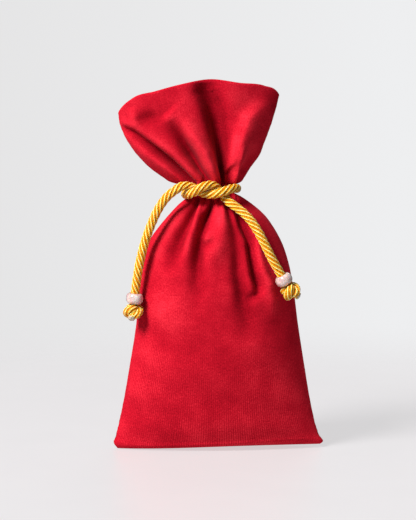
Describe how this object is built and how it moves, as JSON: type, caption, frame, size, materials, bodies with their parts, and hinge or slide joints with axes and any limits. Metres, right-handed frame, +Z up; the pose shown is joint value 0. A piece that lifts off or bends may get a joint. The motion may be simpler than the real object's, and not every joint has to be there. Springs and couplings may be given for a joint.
{
  "type": "drawstring gift pouch",
  "caption": "Filled velvet gift pouch standing on its base, neck gathered and tied with a twisted cord whose beaded, knotted tails hang at the front.",
  "frame": {"origin": "middle of the base, on the surface that the pouch stands on", "axes": "+Z up, -Y towards the front where the cord is knotted, +X to the right seen from the front"},
  "size_m": [0.1002, 0.045, 0.176],
  "materials": {
    "velvet": "short-pile velvet with fine vertical ribs",
    "thread": "matte sewing thread",
    "filling": "loose polyester fibre",
    "cord": "glossy twisted rayon",
    "cord_core": "matte cut fibres",
    "bead": "pearly"
  },
  "bodies": {
    "pouch": {"front_panel": "velvet", "back_panel": "velvet", "left_side_stitches": "thread", "right_side_stitches": "thread", "bottom_stitches": "thread", "hem_stitches": "thread", "filling": "filling", "neck_cord": "cord"},
    "left_tail": {"left_cord_tail": "cord", "left_end_knot": "cord", "left_cord_tip": "cord_core"},
    "right_tail": {"right_cord_tail": "cord", "right_end_knot": "cord", "right_cord_tip": "cord_core"},
    "left_bead": {"left_bead": "bead"},
    "right_bead": {"right_bead": "bead"}
  },
  "joints": [
    {"name": "left_tail_swing", "type": "hinge", "parent": "pouch", "child": "left_tail", "pos_m": [-0.0206, -0.0129, 0.123], "axis": [0, 1, 0], "range_deg": [0, 75]},
    {"name": "right_tail_lift", "type": "hinge", "parent": "pouch", "child": "right_tail", "pos_m": [0.0042, -0.0131, 0.1176], "axis": [-0.8186, 0, -0.5744], "range_deg": [0, 70]},
    {"name": "left_bead_slide", "type": "slide", "parent": "left_tail", "child": "left_bead", "axis": [0.1004, -0.0402, 0.9941], "range_m": [0, 0.008]},
    {"name": "right_bead_slide", "type": "slide", "parent": "right_tail", "child": "right_bead", "axis": [-0.4964, -0.0709, 0.8652], "range_m": [0, 0.008]}
  ]
}
